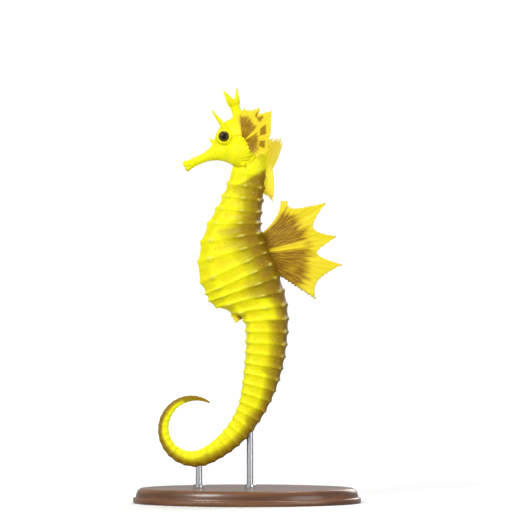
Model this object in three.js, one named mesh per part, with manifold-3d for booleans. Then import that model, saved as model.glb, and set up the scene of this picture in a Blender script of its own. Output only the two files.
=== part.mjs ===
// A yellow seahorse as a still, life-size model on a plain display stand.
// Millimetres, +Z up. The animal faces -X with its left side towards -Y, upright in the XZ plane.
// The origin is the centre of the stand's underside.
import * as THREE from "three";
import { mergeVertices } from "three/addons/utils/BufferGeometryUtils.js";
import Module from "manifold-3d";

const wasm = await Module();
wasm.setup();

// ---------------------------------------------------------------- driving dimensions

const GAP = 0.3; // clear space between neighbouring pieces
const degrees = Math.PI / 180;

// The backbone, from inside the back of the head to the tip of the tail, as arcs that follow on.
// A heading of 270 degrees points straight down and 180 degrees points forward, to -X.
const backboneStart = { x: 1.6, z: 117.6, heading: 257.5 };
const backboneArcs = [
  { length: 22.3, turn: 7.8 }, // neck
  { length: 16.6, turn: 32.6 }, // shoulders, arching back
  { length: 23.1, turn: -29.3 }, // loins
  { length: 24, turn: -17.7 }, // root of the tail
  { length: 24.4, turn: -43.5 }, // sweep forward
  { length: 42.6, turn: -240.4 }, // curl
];

// Body rings: the first lies behind the head, and the tail's rings shorten evenly to the tip.
const trunkRings = 11;
const tailRings = 36;
const firstRing = 10; // arc length of the first ring's front edge
const trunkRingLength = 4.2;
const tailRingLength = { first: 4.0, last: 1.38 };

// Half sizes of the body along the backbone, as [arc length, size].
const tailTip = [[126, 2], [136, 1.6], [144, 1.2], [150, 0.85], [153, 0.6]];
const backDepth = through([[0, 5.6], [12, 6.5], [26, 6.6], [34, 7.1], [44, 6.9], [54, 7.2], [62, 6.9],
  [72, 6.4], [81, 5.6], [86, 4.9], [91, 4.2], [97, 3.7], [106, 3], [116, 2.5], ...tailTip]);
const bellyDepth = through([[0, 4.6], [9, 5.4], [13, 6], [18, 7.5], [22, 9.3], [26, 11.8], [31, 14.9],
  [36, 17.4], [42, 17.9], [47, 17.6], [50, 16], [53, 12.6], [56, 9], [59, 7.6], [64, 7.2], [72, 6.7],
  [81, 5.8], [86, 5.1], [91, 4.6], [97, 4.1], [106, 3.4], [116, 2.7], ...tailTip]);
const bodyWidth = through([[0, 4.6], [10, 5.4], [18, 6.2], [25, 7.4], [33, 8.6], [42, 9], [49, 8.1],
  [56, 6.8], [64, 6.3], [72, 5.8], [82, 4.9], [91, 3.9], [100, 3.3], [116, 2.5], [126, 2],
  [136, 1.5], [144, 1.15], [150, 0.8], [153, 0.6]]);

// The head is laid out along its own axis, from the mouth backwards, with the snout bowed down.
const mouth = { x: -21, z: 112 };
const headTilt = 25 * degrees;
const headLength = 27.2;
const snoutLength = 10.4;
const headTop = through([[0, 1.3], [0.8, 1.75], [2.6, 1.45], [7, 1.4], [10, 1.9], [12, 3.1], [14, 5],
  [16, 6.7], [18, 7.7], [21, 8], [23.5, 7.2], [25.6, 4.9], [headLength, 0.5]]);
const headBottom = through([[0, 1.5], [0.8, 1.95], [2.6, 1.6], [7, 1.6], [10, 2.3], [12, 3.4],
  [14, 5.2], [16, 7.6], [18, 9.6], [21, 10.6], [24, 9.6], [25.8, 6.8], [headLength, 1]]);
const headWidth = through([[0, 1.35], [0.8, 1.6], [2.6, 1.3], [7, 1.35], [10, 1.9], [13, 2.9],
  [16, 3.9], [20, 4.9], [23, 5.1], [25.6, 3.9], [headLength, 0.8]]);
const neckCut = -9.5; // the head ends at this level, below and along its own axis

const eye = { along: 16.3, up: 3.5, side: 3.75, radius: 2 };
const gillCover = { along: 19.4, up: -3.4, long: 5.6, tall: 5.2, side: 6.3, inner: 3.4 };
const coronet = { along: 23.4, up: 5.9, lean: 6 * degrees, height: 7.8, foot: 2.6, waist: 1.6, rim: 2.3 };

// Fins are fans about a centre inside the body. Each has lobes, as [direction, reach], with round bays
// between them, as [depth, where it is deepest as a share of the way to the next lobe].
const dorsalFan = {
  centre: { x: 0, z: 82.7 },
  lobes: [[57.5, 21.4], [52.8, 22.8], [33.3, 32], [11.9, 30.7], [-5.8, 32.4], [-33.6, 28]],
  bays: [[0.1, 0.5], [4.7, 0.5], [7.5, 0.5], [8.4, 0.6], [5, 0.5]],
  rays: 13,
};
const pectoralFan = {
  lobes: [[102, 8.4], [85.5, 11.4], [57.5, 13.8], [42, 15.5], [16, 12], [-20, 10.8], [-44, 8.4]],
  bays: [[0.5, 0.5], [1.5, 0.5], [2.6, 0.3], [0.6, 0.5], [1.2, 0.5], [1.2, 0.5]],
  rays: 8,
  splay: 29,
};
const analFan = {
  lobes: [[-146, 5.6], [-176, 6.2], [-206, 5.4]],
  bays: [[0.5, 0.5], [0.5, 0.5]],
  rays: 4,
};
const finWeb = 0.55; // thickness of a fin between its rays
// The mane is a crest of skin down the nape with fronds, each at a share of the crest's length.
const crest = { thickness: 0.8, height: 1.9, root: 1.8, fronds: 7 };
const frondHeading = through([[0, 78], [0.33, 54], [0.5, 38], [0.67, -34], [0.83, -55], [1, -66]]);
const frondLength = through([[0, 3.8], [0.3, 6.2], [0.5, 7.6], [0.67, 5], [1, 5.8]]);

const stand = { long: 76, wide: 48, thick: 5, chamfer: 0.7, rod: 1.1 };
const rodPlaces = [
  { name: "stand_rod_front", x: -16 },
  { name: "stand_rod_back", x: 1 },
];

// ---------------------------------------------------------------- finishes

const finish = (color, roughness, metalness = 0) =>
  new THREE.MeshStandardMaterial({ color, roughness, metalness });
const skin = finish("#f5e60a", 0.5);
const finSkin = finish("#f7d92e", 0.45);
const eyeball = finish("#0d0a07", 0.08);
const wood = finish("#8c6a46", 0.55);
const steel = finish("#c9ccd0", 0.28, 1);

// ---------------------------------------------------------------- small tools

// A smooth curve through [place, value] pairs.
function through(pairs) {
  const places = Float32Array.from(pairs, (p) => p[0]);
  const values = Float32Array.from(pairs, (p) => p[1]);
  const curve = new THREE.CubicInterpolant(places, values, 1, new Float32Array(1));
  return (place) => curve.evaluate(place)[0];
}

const { lerp, smoothstep } = THREE.MathUtils;
const bell = (distance, width) => Math.exp(-((distance / width) ** 2));

function solidOf(geometry) {
  const bare = geometry.clone();
  bare.deleteAttribute("normal");
  bare.deleteAttribute("uv");
  const merged = mergeVertices(bare, 1e-4);
  return new wasm.Manifold(
    new wasm.Mesh({
      numProp: 3,
      vertProperties: merged.attributes.position.array,
      triVerts: new Uint32Array(merged.index.array),
    }),
  );
}

function geometryOf(solid) {
  const { numProp, numVert, vertProperties, triVerts } = solid.getMesh();
  const places = new Float32Array(numVert * 3);
  for (let i = 0; i < numVert; i++)
    places.set(vertProperties.subarray(i * numProp, i * numProp + 3), i * 3);
  const geometry = new THREE.BufferGeometry();
  geometry.setAttribute("position", new THREE.BufferAttribute(places, 3));
  geometry.setIndex(new THREE.BufferAttribute(triVerts, 1));
  geometry.computeVertexNormals();
  return geometry;
}

const joined = (solids) => solids.reduce((whole, next) => whole.add(next));

// The biggest piece of what a cut leaves.
const mainPiece = (solid) => solid.decompose().sort((a, b) => b.volume() - a.volume())[0];

function named(name, solid, material) {
  const mesh = new THREE.Mesh(geometryOf(solid), material);
  mesh.name = name;
  return mesh;
}

// ---------------------------------------------------------------- backbone and sections

// The frame at an arc length: its centre, its direction and the way to the animal's back.
function backbone(length) {
  let { x, z } = backboneStart;
  let heading = backboneStart.heading * degrees;
  let left = length;
  for (const arc of backboneArcs) {
    const run = arc === backboneArcs.at(-1) ? left : Math.min(left, arc.length);
    const radius = arc.length / (arc.turn * degrees);
    const next = heading + run / radius;
    x += radius * (Math.sin(next) - Math.sin(heading));
    z -= radius * (Math.cos(next) - Math.cos(heading));
    heading = next;
    left -= run;
    if (left <= 0) break;
  }
  return {
    centre: new THREE.Vector3(x, 0, z),
    back: new THREE.Vector3(-Math.sin(heading), 0, Math.cos(heading)),
  };
}

// The arc length at a ring number, which may be a fraction.
function ringPlace(ring) {
  if (ring <= trunkRings) return firstRing + ring * trunkRingLength;
  const n = ring - trunkRings;
  const shrink = (tailRingLength.first - tailRingLength.last) / tailRings;
  return firstRing + trunkRings * trunkRingLength + n * tailRingLength.first - (shrink * n * n) / 2;
}

// How strongly a direction round the body lies on one of its long ridges, 0 to 1. The tail has
// four, and the trunk has one more on each side and a keel.
function ridge(ring, angle) {
  const turn = Math.abs(angle) / degrees;
  const trunk = 1 - smoothstep(ring, 9, 13);
  const onTrunk = Math.max(bell(turn - 90, 9), bell(turn - 180, 9)) * trunk;
  return Math.max(onTrunk, bell(turn - 45, 9), bell(turn - 135, 9));
}

// The point of the body's surface at a ring number and a direction round it, 0 at the back.
// share is 1 on the surface and 0 on the backbone, and grow swells the body.
function bodyPoint(ring, angle, share, grow) {
  const length = ring < 0 ? firstRing + ring * trunkRingLength : ringPlace(ring);
  const { centre, back } = backbone(length);
  const tail = smoothstep(ring, 9, 13);
  const squareness = lerp(0.92, 0.72, tail);
  const round = (value) => Math.sign(value) * Math.abs(value) ** squareness;
  const depth = Math.cos(angle) > 0 ? backDepth(length) : bellyDepth(length);
  const keel = 1 - 0.3 * (1 - tail) * ((1 - Math.cos(angle)) / 2) ** 2;
  const ringSize = ring < trunkRings ? 1 : bodyWidth(length) / bodyWidth(ringPlace(trunkRings));
  const crest = 0.5 - 0.5 * Math.cos(2 * Math.PI * ring); // 1 on a ring's middle, 0 between rings
  const onRidge = ridge(ring, angle);
  const fade = smoothstep(ring, -1, 1);
  const relief = fade * ringSize * (0.55 * (crest - 0.5) + 0.35 * onRidge + 0.6 * onRidge * crest ** 2);
  const up = round(Math.cos(angle)) * depth;
  const side = round(Math.sin(angle)) * bodyWidth(length) * keel;
  const reach = Math.hypot(up, side);
  const scale = (share * (reach + relief + grow)) / reach;
  return centre.addScaledVector(back, up * scale).add(new THREE.Vector3(0, side * scale, 0));
}

const headAlong = new THREE.Vector3(Math.cos(headTilt), 0, Math.sin(headTilt));
const headUp = new THREE.Vector3(-Math.sin(headTilt), 0, Math.cos(headTilt));

// A point from its place in the head: along the axis from the mouth, up from it and to the side.
function inHead(along, up, side = 0) {
  return new THREE.Vector3(mouth.x, side, mouth.z)
    .addScaledVector(headAlong, along)
    .addScaledVector(headUp, up);
}

// The point of the skull's surface at a place along the head, narrow at the crown.
function headPoint(along, angle, share, grow) {
  const depth = Math.cos(angle) > 0 ? headTop(along) : headBottom(along);
  const behindSnout = smoothstep(along, 10, 16);
  const narrow = 1 - 0.35 * behindSnout * ((1 + Math.cos(angle)) / 2) ** 1.5;
  const up = Math.cos(angle) * (depth + grow) * share;
  const side = Math.sin(angle) * (headWidth(along) + grow) * narrow * share;
  return inHead(along, up, side);
}

// A capped cylinder whose vertices are moved to point(station, angle, share, grow).
function swept(stations, sides, point, grow = 0) {
  const geometry = new THREE.CylinderGeometry(1, 1, 1, sides, stations.length - 1);
  const places = geometry.attributes.position;
  for (let i = 0; i < places.count; i++) {
    const [x, y, z] = [places.getX(i), places.getY(i), places.getZ(i)];
    const station = stations[Math.round((0.5 - y) * (stations.length - 1))];
    const moved = point(station, Math.atan2(x, z), Math.hypot(x, z), grow);
    places.setXYZ(i, moved.x, moved.y, moved.z);
  }
  return solidOf(geometry);
}

// Stations at the given shares of each ring between two ring numbers, with both ends.
function ringStations(from, to, shares) {
  const stations = [];
  for (let ring = Math.floor(from); ring < to; ring++)
    for (const share of shares) if (ring + share > from) stations.push(ring + share);
  return [from, ...stations, to].filter((s) => s >= from && s <= to);
}

const threeSteps = [0, 0.36, 0.64];
const twoSteps = [0, 0.5];

// A ball with three half sizes, at a place in the head, lying along the head's axis.
function headBall(place, long, tall, wide, detail = 14) {
  const geometry = new THREE.SphereGeometry(1, detail, Math.round(detail * 0.6));
  geometry.rotateX(Math.PI / 2);
  geometry.scale(long, wide, tall).rotateY(-headTilt);
  geometry.translate(...inHead(place.along, place.up, place.side).toArray());
  return solidOf(geometry);
}

// A spine: a cone from a point in the head, towards another one.
function spine(from, to, thick, thin, sides = 6) {
  const way = to.clone().sub(from);
  const geometry = new THREE.CylinderGeometry(thin, thick, way.length(), sides);
  const up = new THREE.Vector3(0, 1, 0);
  geometry.translate(0, way.length() / 2, 0);
  geometry.applyQuaternion(new THREE.Quaternion().setFromUnitVectors(up, way.clone().normalize()));
  geometry.translate(from.x, from.y, from.z);
  return solidOf(geometry);
}

// ---------------------------------------------------------------- the body and tail

const bodyPieces = [
  { name: "neck", from: -1.6, to: 3, sides: 16, steps: threeSteps },
  { name: "chest", from: 3, to: 7, sides: 16, steps: threeSteps },
  { name: "belly", from: 7, to: 11, sides: 16, steps: threeSteps },
  { name: "tail_root", from: 11, to: 17, sides: 16, steps: threeSteps },
  { name: "tail_upper", from: 17, to: 23, sides: 16, steps: threeSteps },
  { name: "tail_middle", from: 23, to: 29, sides: 16, steps: twoSteps },
  { name: "tail_bend", from: 29, to: 35, sides: 8, steps: twoSteps },
  { name: "tail_curl", from: 35, to: 41, sides: 8, steps: twoSteps },
  { name: "tail_tip", from: 41, to: 47, sides: 8, steps: twoSteps },
];
const neckTop = { from: -2.3, to: 1, sides: 16, steps: threeSteps }; // runs up inside the head
const nape = { ...neckTop, to: 4 };

function bodySolid({ from, to, sides, steps }, grow = 0) {
  const stations = ringStations(from, to, steps);
  if (to < trunkRings + tailRings) {
    const ringLength = ringPlace(to) - ringPlace(to - 1);
    stations[stations.length - 1] = to - GAP / ringLength; // the thin cut before the next piece
  }
  return swept(stations, sides, bodyPoint, grow);
}

const swollenBody = (pieces) => joined(pieces.map((piece) => bodySolid(piece, GAP)));

// ---------------------------------------------------------------- the head

const skullStations = [0, 0.4, 1, 2.4, 5, 8, 10.4, 12, 13.4, 14.9, 17, 20, 22.6, 24.8, 26.3, headLength];
const skullSides = 16;
const skull = swept(skullStations, skullSides, headPoint);
const swollenSkull = swept(skullStations, skullSides, headPoint, GAP);
const sides = [
  { name: "left", way: -1 },
  { name: "right", way: 1 },
];
const cheek = (way, grow = 0) => headBall(
  { along: gillCover.along, up: gillCover.up, side: way * 1.9 },
  gillCover.long + grow, gillCover.tall + grow, gillCover.side - 1.9 + grow,
);
const orbit = (way) => headBall({ along: eye.along, up: eye.up, side: way * 2.5 }, 2.9, 2.75, 2.75, 12);
const eyeBall = (way, grow = 0) => headBall(
  { along: eye.along, up: eye.up, side: way * eye.side },
  eye.radius + grow, eye.radius + grow, eye.radius + grow, 12,
);

// A short elliptical post through one cheek that parts the gill cover from the skull.
function coverZone(way, grow) {
  const reach = 6;
  const geometry = new THREE.CylinderGeometry(1, 1, reach, 16);
  geometry.scale(gillCover.long - 0.5 + grow, 1, gillCover.tall - 0.5 + grow);
  geometry.rotateY(-headTilt);
  const middle = way * (gillCover.inner + reach / 2 - grow);
  geometry.translate(...inHead(gillCover.along, gillCover.up, middle).toArray());
  return solidOf(geometry);
}

const alongPlane = (solid, way, at) => {
  const normal = headAlong.clone().multiplyScalar(way);
  return solid.trimByPlane(normal.toArray(), normal.dot(inHead(at, 0)));
};
const upPlane = (solid, way, at) => {
  const normal = headUp.clone().multiplyScalar(way);
  return solid.trimByPlane(normal.toArray(), normal.dot(inHead(0, at)));
};

// Crown of five points on a short column, leaning back.
function coronetSolid(grow = 0) {
  const lean = (along, up, side) => {
    const back = Math.sin(coronet.lean) * up + Math.cos(coronet.lean) * along;
    const rise = Math.cos(coronet.lean) * up - Math.sin(coronet.lean) * along;
    return inHead(coronet.along + back, coronet.up + rise, side);
  };
  const { height, foot, waist, rim } = coronet;
  const radius = through([[0, foot], [0.26 * height, lerp(foot, waist, 0.7)], [0.55 * height, waist],
    [height, rim]]);
  const column = swept([1, 0.78, 0.55, 0.35, 0.18, 0], 12, (rise, angle, share) => {
    const reach = (radius(rise * height) + grow) * share;
    return lean(-Math.cos(angle) * reach, rise * height, -0.8 * Math.sin(angle) * reach);
  });
  const points = [
    { turn: 0, length: 4, out: 0.6 },
    { turn: 70, length: 2.7, out: 2.4 },
    { turn: -70, length: 2.7, out: 2.4 },
    { turn: 150, length: 3.1, out: 1.7 },
    { turn: -150, length: 3.1, out: 1.7 },
  ].map(({ turn, length, out }) => {
    const [ahead, aside] = [-Math.cos(turn * degrees), Math.sin(turn * degrees)];
    const from = lean(ahead * 1.25, height - 1.6, aside * 1.1);
    const to = lean(ahead * (1.3 + out), height + length, aside * (1 + out));
    return spine(from, to, 1.1 + grow, 0.27 + grow);
  });
  return joined([column, ...points]);
}

function headPieces() {
  const browSpines = sides.map(({ way }) =>
    spine(inHead(18, 5.2, way * 2.4), inHead(16.4, 13, way * 4.4), 1.15, 0.27));
  const cheekSpines = sides.map(({ way }) =>
    spine(inHead(18.4, -6.6, way * 3.8), inHead(18, -9.1, way * 6.2), 0.75, 0.22));
  const noseSpine = spine(inHead(12.6, 2.4), inHead(11.6, 5.4), 0.8, 0.22);
  const whole = joined([skull, bodySolid(neckTop), noseSpine, ...browSpines, ...cheekSpines,
    ...sides.flatMap(({ way }) => [cheek(way), orbit(way)])]);
  const aboveNeck = upPlane(whole, 1, neckCut + GAP);
  const crown = coronetSolid();

  let head = alongPlane(aboveNeck, 1, snoutLength);
  for (const { way } of sides)
    head = head.subtract(coverZone(way, GAP)).subtract(eyeBall(way, GAP / 2));
  const covers = sides.map(({ name, way }) =>
    named(`gill_cover_${name}`, aboveNeck.intersect(coverZone(way, 0)), skin));
  const eyes = sides.map(({ name, way }) => named(`eye_${name}`, eyeBall(way), eyeball));

  // The snout tube, its mouth a thin slanting cut that frees the lower jaw.
  const tube = alongPlane(skull, -1, snoutLength - GAP);
  const slit = new THREE.BoxGeometry(3.4, 6, GAP).translate(0.7, 0, 0);
  slit.rotateY(14 * degrees - headTilt).translate(...inHead(0, -0.35).toArray());
  const hinge = new THREE.BoxGeometry(GAP, 6, 3).translate(0, 0, -1.5);
  hinge.rotateY(-headTilt).translate(...inHead(2.35, -0.85).toArray());
  const [snout, jaw] = tube.subtract(solidOf(slit).add(solidOf(hinge))).decompose()
    .sort((a, b) => b.volume() - a.volume());

  // The coronet stands on the crown, parted from it by a thin cut.
  const seat = coronet.up + 1.9;
  return [
    named("head", mainPiece(head.subtract(upPlane(crown, 1, seat - GAP))), skin),
    named("snout", snout, skin),
    named("lower_jaw", jaw, skin),
    named("coronet", upPlane(crown, 1, seat), skin),
    ...covers,
    ...eyes,
  ];
}

// ---------------------------------------------------------------- fins and the nape's fronds

// How far a fan reaches in a direction: to a point at each lobe and less in the bays between.
function fanReach({ lobes, bays }, turn) {
  const next = Math.max(1, lobes.findIndex(([direction]) => direction <= turn));
  const [[from, near], [to, far]] = [lobes[next - 1], lobes[next]];
  const [depth, deepest] = bays[next - 1];
  const place = (turn - from) / (to - from);
  const skewed = place ** (Math.log(0.5) / Math.log(deepest));
  return lerp(near, far, place) - depth * Math.sin(Math.PI * skewed) ** 0.7;
}

// A fan of rays with a web between them, in the XZ plane about the origin.
function fanSolid(fan, root, stepsInBay) {
  const { lobes, rays } = fan;
  const onFan = (turn, reach) =>
    new THREE.Vector3(Math.cos(turn * degrees), 0, Math.sin(turn * degrees)).multiplyScalar(reach);
  const margin = lobes.slice(1).flatMap(([to], n) =>
    Array.from({ length: stepsInBay }, (_, i) => lerp(lobes[n][0], to, i / stepsInBay)));
  const [first, last] = [lobes[0][0], lobes.at(-1)[0]];
  const outline = [first, ...margin.slice(1), last].map((turn) => onFan(turn, fanReach(fan, turn)));
  const shape = new THREE.Shape([new THREE.Vector3(), ...outline].map((p) => new THREE.Vector2(p.x, p.z)));
  const web = new THREE.ExtrudeGeometry(shape, { depth: finWeb, bevelEnabled: false });
  web.translate(0, 0, -finWeb / 2).rotateX(Math.PI / 2);
  const bones = Array.from({ length: rays }, (_, i) => {
    const turn = lerp(first, last, (i + 0.5) / rays);
    return spine(onFan(turn, root), onFan(turn, fanReach(fan, turn) - 0.5), 0.55, 0.34, 4);
  });
  return joined([solidOf(web), ...bones]);
}

function dorsalFin() {
  const { x, z } = dorsalFan.centre;
  const whole = fanSolid(dorsalFan, 4, 7).translate([x, 0, z]);
  return named("dorsal_fin", whole.subtract(swollenBody(bodyPieces.slice(0, 3))), finSkin);
}

// The fins beside the nape stand out like ears, from the top of the gill covers.
function pectoralFin({ name, way }) {
  const foot = inHead(21.2, -0.8, way * 4.4);
  const laid = fanSolid(pectoralFan, 1.4, 4).rotate([0, 0, way * pectoralFan.splay])
    .translate(foot.toArray());
  const neighbours = joined([swollenSkull, cheek(way, GAP), bodySolid(nape, GAP), coverZone(way, GAP)]);
  return named(`pectoral_fin_${name}`, mainPiece(laid.subtract(neighbours)), finSkin);
}

// The small fin where the belly meets the tail.
function analFin() {
  const { centre, back } = backbone(ringPlace(10.9));
  const foot = centre.addScaledVector(back, -6);
  const whole = fanSolid(analFan, 1, 4).translate(foot.toArray());
  return named("anal_fin", mainPiece(whole.subtract(swollenBody(bodyPieces.slice(1, 4)))), finSkin);
}

// A flat tapering frond of skin that starts in one heading and bends as it grows.
function frond(root, heading, length, bend) {
  const at = root.clone();
  const stations = [1.3, 1.05, 0.7, 0.27].map((half, n) => {
    const turn = (heading + (bend * n) / 3) * degrees;
    const way = new THREE.Vector3(Math.cos(turn), 0, Math.sin(turn));
    if (n > 0) at.addScaledVector(way, length / 3);
    return { centre: at.clone(), across: new THREE.Vector3(-way.z, 0, way.x), half };
  });
  return swept(stations.reverse(), 4, ({ centre, across, half }, angle, share) => centre.clone()
    .addScaledVector(across, Math.cos(angle) * half * share)
    .add(new THREE.Vector3(0, (-crest.thickness / 2) * Math.sin(angle) * share, 0)));
}

// The crest down the nape, low at its ends, with its fronds.
function mane() {
  const nodes = [inHead(25, 4.2), inHead(26.9, 1.4), [5.9, 115], [6.2, 110], [5.7, 104.5]];
  const line = new THREE.CatmullRomCurve3(
    nodes.map((p) => (Array.isArray(p) ? new THREE.Vector3(p[0], 0, p[1]) : p)));
  const blades = Array.from({ length: crest.fronds }, (_, i) => {
    const place = i / (crest.fronds - 1);
    return frond(line.getPointAt(place), frondHeading(place), frondLength(place), lerp(16, -10, place));
  });
  const steps = 10;
  const edge = (out) => Array.from({ length: steps + 1 }, (_, i) => {
    const way = line.getTangentAt(i / steps);
    const reach = out * Math.sin(Math.PI * lerp(0.06, 0.94, i / steps)) ** 0.4;
    return line.getPointAt(i / steps).addScaledVector(new THREE.Vector3(-way.z, 0, way.x), reach);
  });
  const outline = [...edge(crest.height), ...edge(-crest.root).reverse()];
  const band = new THREE.ExtrudeGeometry(
    new THREE.Shape(outline.map((p) => new THREE.Vector2(p.x, p.z))),
    { depth: crest.thickness, bevelEnabled: false },
  );
  band.translate(0, 0, -crest.thickness / 2).rotateX(Math.PI / 2);
  const neighbours = joined([swollenSkull, bodySolid(nape, GAP), coronetSolid(GAP)]);
  return named("mane", mainPiece(joined([solidOf(band), ...blades]).subtract(neighbours)), finSkin);
}

// ---------------------------------------------------------------- the stand

function standBase() {
  const { long, wide, thick, chamfer } = stand;
  const outline = new THREE.Shape();
  outline.absellipse(0, 0, long / 2 - chamfer, wide / 2 - chamfer, 0, 2 * Math.PI);
  const plate = new THREE.ExtrudeGeometry(outline, {
    depth: thick - 2 * chamfer,
    bevelThickness: chamfer,
    bevelSize: chamfer,
    bevelSegments: 1,
    curveSegments: 16,
  });
  return named("stand_base", solidOf(plate.translate(0, 0, chamfer)), wood);
}

// A rod from the base up to the underside of the tail, its top cut to the tail's own curve.
function standRod({ name, x }, tail) {
  const top = 40;
  const foot = stand.thick + GAP;
  const rod = new THREE.CylinderGeometry(stand.rod, stand.rod, top - foot, 12);
  rod.rotateX(Math.PI / 2).translate(x, 0, (top + foot) / 2);
  const below = solidOf(rod).subtract(tail).decompose();
  const lowest = below.sort((a, b) => a.boundingBox().min[2] - b.boundingBox().min[2])[0];
  return named(name, lowest, steel);
}

// ---------------------------------------------------------------- the whole

const seahorse = new THREE.Group();
const neck = upPlane(bodySolid(bodyPieces[0]), -1, neckCut);
seahorse.add(
  ...headPieces(),
  named("neck", neck, skin),
  ...bodyPieces.slice(1).map((piece) => named(piece.name, bodySolid(piece), skin)),
  mane(),
  dorsalFin(),
  ...sides.map(pectoralFin),
  analFin(),
  standBase(),
  ...rodPlaces.map((place) => standRod(place, swollenBody(bodyPieces.slice(4, 8)))),
);

export default seahorse;
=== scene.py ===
"""The looks of a yellow seahorse on a plain display stand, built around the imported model."""

import math

import bmesh
import bpy
import numpy as np
from mathutils import Euler, Matrix, Vector
from mathutils.kdtree import KDTree


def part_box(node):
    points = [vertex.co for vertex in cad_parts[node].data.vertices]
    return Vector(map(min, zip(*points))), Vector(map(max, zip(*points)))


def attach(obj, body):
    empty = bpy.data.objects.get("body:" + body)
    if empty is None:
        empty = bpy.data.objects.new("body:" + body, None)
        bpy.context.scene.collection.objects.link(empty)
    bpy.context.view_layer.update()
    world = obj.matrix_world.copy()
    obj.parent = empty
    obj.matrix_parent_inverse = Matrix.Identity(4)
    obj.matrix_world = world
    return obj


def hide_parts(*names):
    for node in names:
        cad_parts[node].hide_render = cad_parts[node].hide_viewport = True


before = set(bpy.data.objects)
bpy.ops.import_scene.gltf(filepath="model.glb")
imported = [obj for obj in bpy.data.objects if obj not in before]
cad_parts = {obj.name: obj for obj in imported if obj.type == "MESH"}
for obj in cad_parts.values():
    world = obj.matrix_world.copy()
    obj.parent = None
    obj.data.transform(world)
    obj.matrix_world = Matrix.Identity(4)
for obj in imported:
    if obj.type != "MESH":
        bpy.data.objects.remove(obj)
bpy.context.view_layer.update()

# The animal's dimensions are in millimetres, as in the model's own source, and each finished mesh is
# scaled to metres. It faces -X with its left side towards -Y, and +Z is up.
MM = 0.001

# ------------ driving dimensions

# The backbone is a chain of arcs from the nape to the tip of the tail: each one's length and turn.
BACKBONE_START = (1.6, 117.6, 257.5)  # x, z and heading: 270 is straight down, 180 is forward
BACKBONE_ARCS = [(22.3, 7.8), (16.6, 32.6), (23.1, -29.3), (24, -17.7), (24.4, -43.5), (42.6, -240.4)]
BACKBONE_LENGTH = sum(length for length, turn in BACKBONE_ARCS)

TRUNK_RINGS = 11
TAIL_RINGS = 36
FIRST_RING = 10.0
TRUNK_RING_LENGTH = 4.2
TAIL_RING_LENGTHS = (4.0, 1.38)  # the first and the last

HEAD_TILT = math.radians(25)
MOUTH = (-21.0, 112.0)
HEAD_LENGTH = 27.2
EYE = (16.3, 3.5)  # along and up in the head
GILL_COVER = {"along": 19.4, "up": -3.4, "long": 5.6, "tall": 5.2, "foot": 1.9, "side": 6.3}
CORONET = {"along": 23.4, "up": 5.9, "lean": math.radians(6), "height": 7.8}

# A fin is a fan. Its lobes are directions in degrees, from its first edge to its last, each with the
# reach of its point. Between two lobes lies a bay: its depth, and where it is deepest, as a share of the
# way between them.
DORSAL_FAN = {
    "lobes": [(57.5, 21.4), (52.8, 22.8), (33.3, 32.2), (11.9, 30.9), (-5.8, 32.6), (-33.6, 28.2)],
    "bays": [(0.1, 0.5), (4.7, 0.5), (7.5, 0.5), (8.4, 0.6), (5, 0.5)],
}
DORSAL_CENTRE = (0.0, 82.7)
PECTORAL_FAN = {
    "lobes": [(102, 8.4), (85.5, 11.4), (57.5, 13.8), (42, 15.5), (16, 12), (-20, 10.8), (-44, 8.4)],
    "bays": [(0.5, 0.5), (1.5, 0.5), (2.6, 0.3), (0.6, 0.5), (1.2, 0.5), (1.2, 0.5)],
}
PECTORAL_FOOT = (21.2, -0.8, 4.4)  # along, up and to the side in the head
PECTORAL_SPLAY = math.radians(29)
ANAL_FAN = {"lobes": [(-146, 5.6), (-176, 6.2), (-206, 5.4)], "bays": [(0.5, 0.5)] * 2}
ANAL_RING = 10.9

VOXEL = 0.295  # grain of the skin's mesh


# ------------ curves and the body's coordinates


def curve(*pairs):
    """A smooth curve through (place, value) pairs, as a function of an array of places."""
    x, y = (np.array(column, float) for column in zip(*pairs))
    slope = np.gradient(y, x)
    slope[1:-1] = (y[2:] - y[:-2]) / (x[2:] - x[:-2])

    def value(place):
        place = np.clip(place, x[0], x[-1])
        i = np.clip(np.searchsorted(x, place) - 1, 0, len(x) - 2)
        run = x[i + 1] - x[i]
        t = (place - x[i]) / run
        near = (2 * t**3 - 3 * t**2 + 1) * y[i] + (t**3 - 2 * t**2 + t) * run * slope[i]
        far = (3 * t**2 - 2 * t**3) * y[i + 1] + (t**3 - t**2) * run * slope[i + 1]
        return near + far

    return value


def smoothstep(value, low, high):
    """0 at low and 1 at high, with a soft start and end; low may be the larger of the two."""
    t = np.clip((value - low) / (high - low), 0, 1)
    return t * t * (3 - 2 * t)


def bell(distance, width):
    """1 at no distance, and fading out over a few widths."""
    return np.exp(-((distance / width) ** 2))


def mix(a, b, share):
    """The value at a share of the way from one to another."""
    return a + (b - a) * share


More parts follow.
